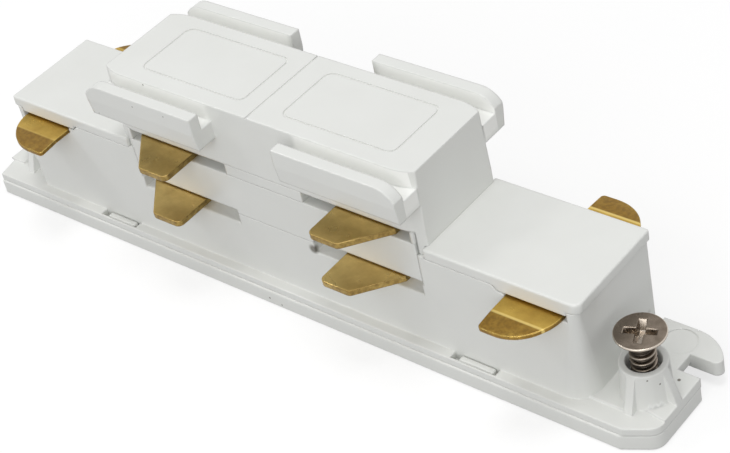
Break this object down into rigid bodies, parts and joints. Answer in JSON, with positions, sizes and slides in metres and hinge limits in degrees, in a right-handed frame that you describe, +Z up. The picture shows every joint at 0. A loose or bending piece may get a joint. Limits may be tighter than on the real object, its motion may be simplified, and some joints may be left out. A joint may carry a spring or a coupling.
{
  "type": "lighting track connector",
  "caption": "Straight coupler that joins two lighting tracks end to end, with a white layered body, brass line and earth tabs, latching wings and countersunk fixing screws.",
  "frame": {"origin": "on the underside of the base plate, midway between its sides and midway between the ends of the middle stack", "axes": "+X along the connector towards the end with the hooked finger, +Y to the side of that finger, +Z up towards the label panels"},
  "size_m": [0.1058, 0.0244, 0.0282],
  "materials": {
    "white_plastic": "satin",
    "brass": "worn, lightly tarnished",
    "screw_steel": "dark nickel"
  },
  "bodies": {
    "housing": {"base_plate": "white_plastic", "main_housing": "white_plastic", "left_end_lid": "white_plastic", "right_end_lid": "white_plastic", "middle_housing": "white_plastic", "contact_carrier": "white_plastic", "top_cover": "white_plastic", "lower_front_contact": "brass", "lower_back_contact": "brass", "upper_front_contact": "brass", "upper_back_contact": "brass", "earth_strip": "brass"},
    "left_screw": {"left_fixing_screw": "screw_steel"},
    "right_screw": {"right_fixing_screw": "screw_steel"}
  },
  "joints": [
    {"name": "left_screw_travel", "type": "slide", "parent": "housing", "child": "left_screw", "axis": [0, 0, 1], "range_m": [0, 0.0047]},
    {"name": "right_screw_travel", "type": "slide", "parent": "housing", "child": "right_screw", "axis": [0, 0, 1], "range_m": [-0.003, 0.0017]}
  ]
}
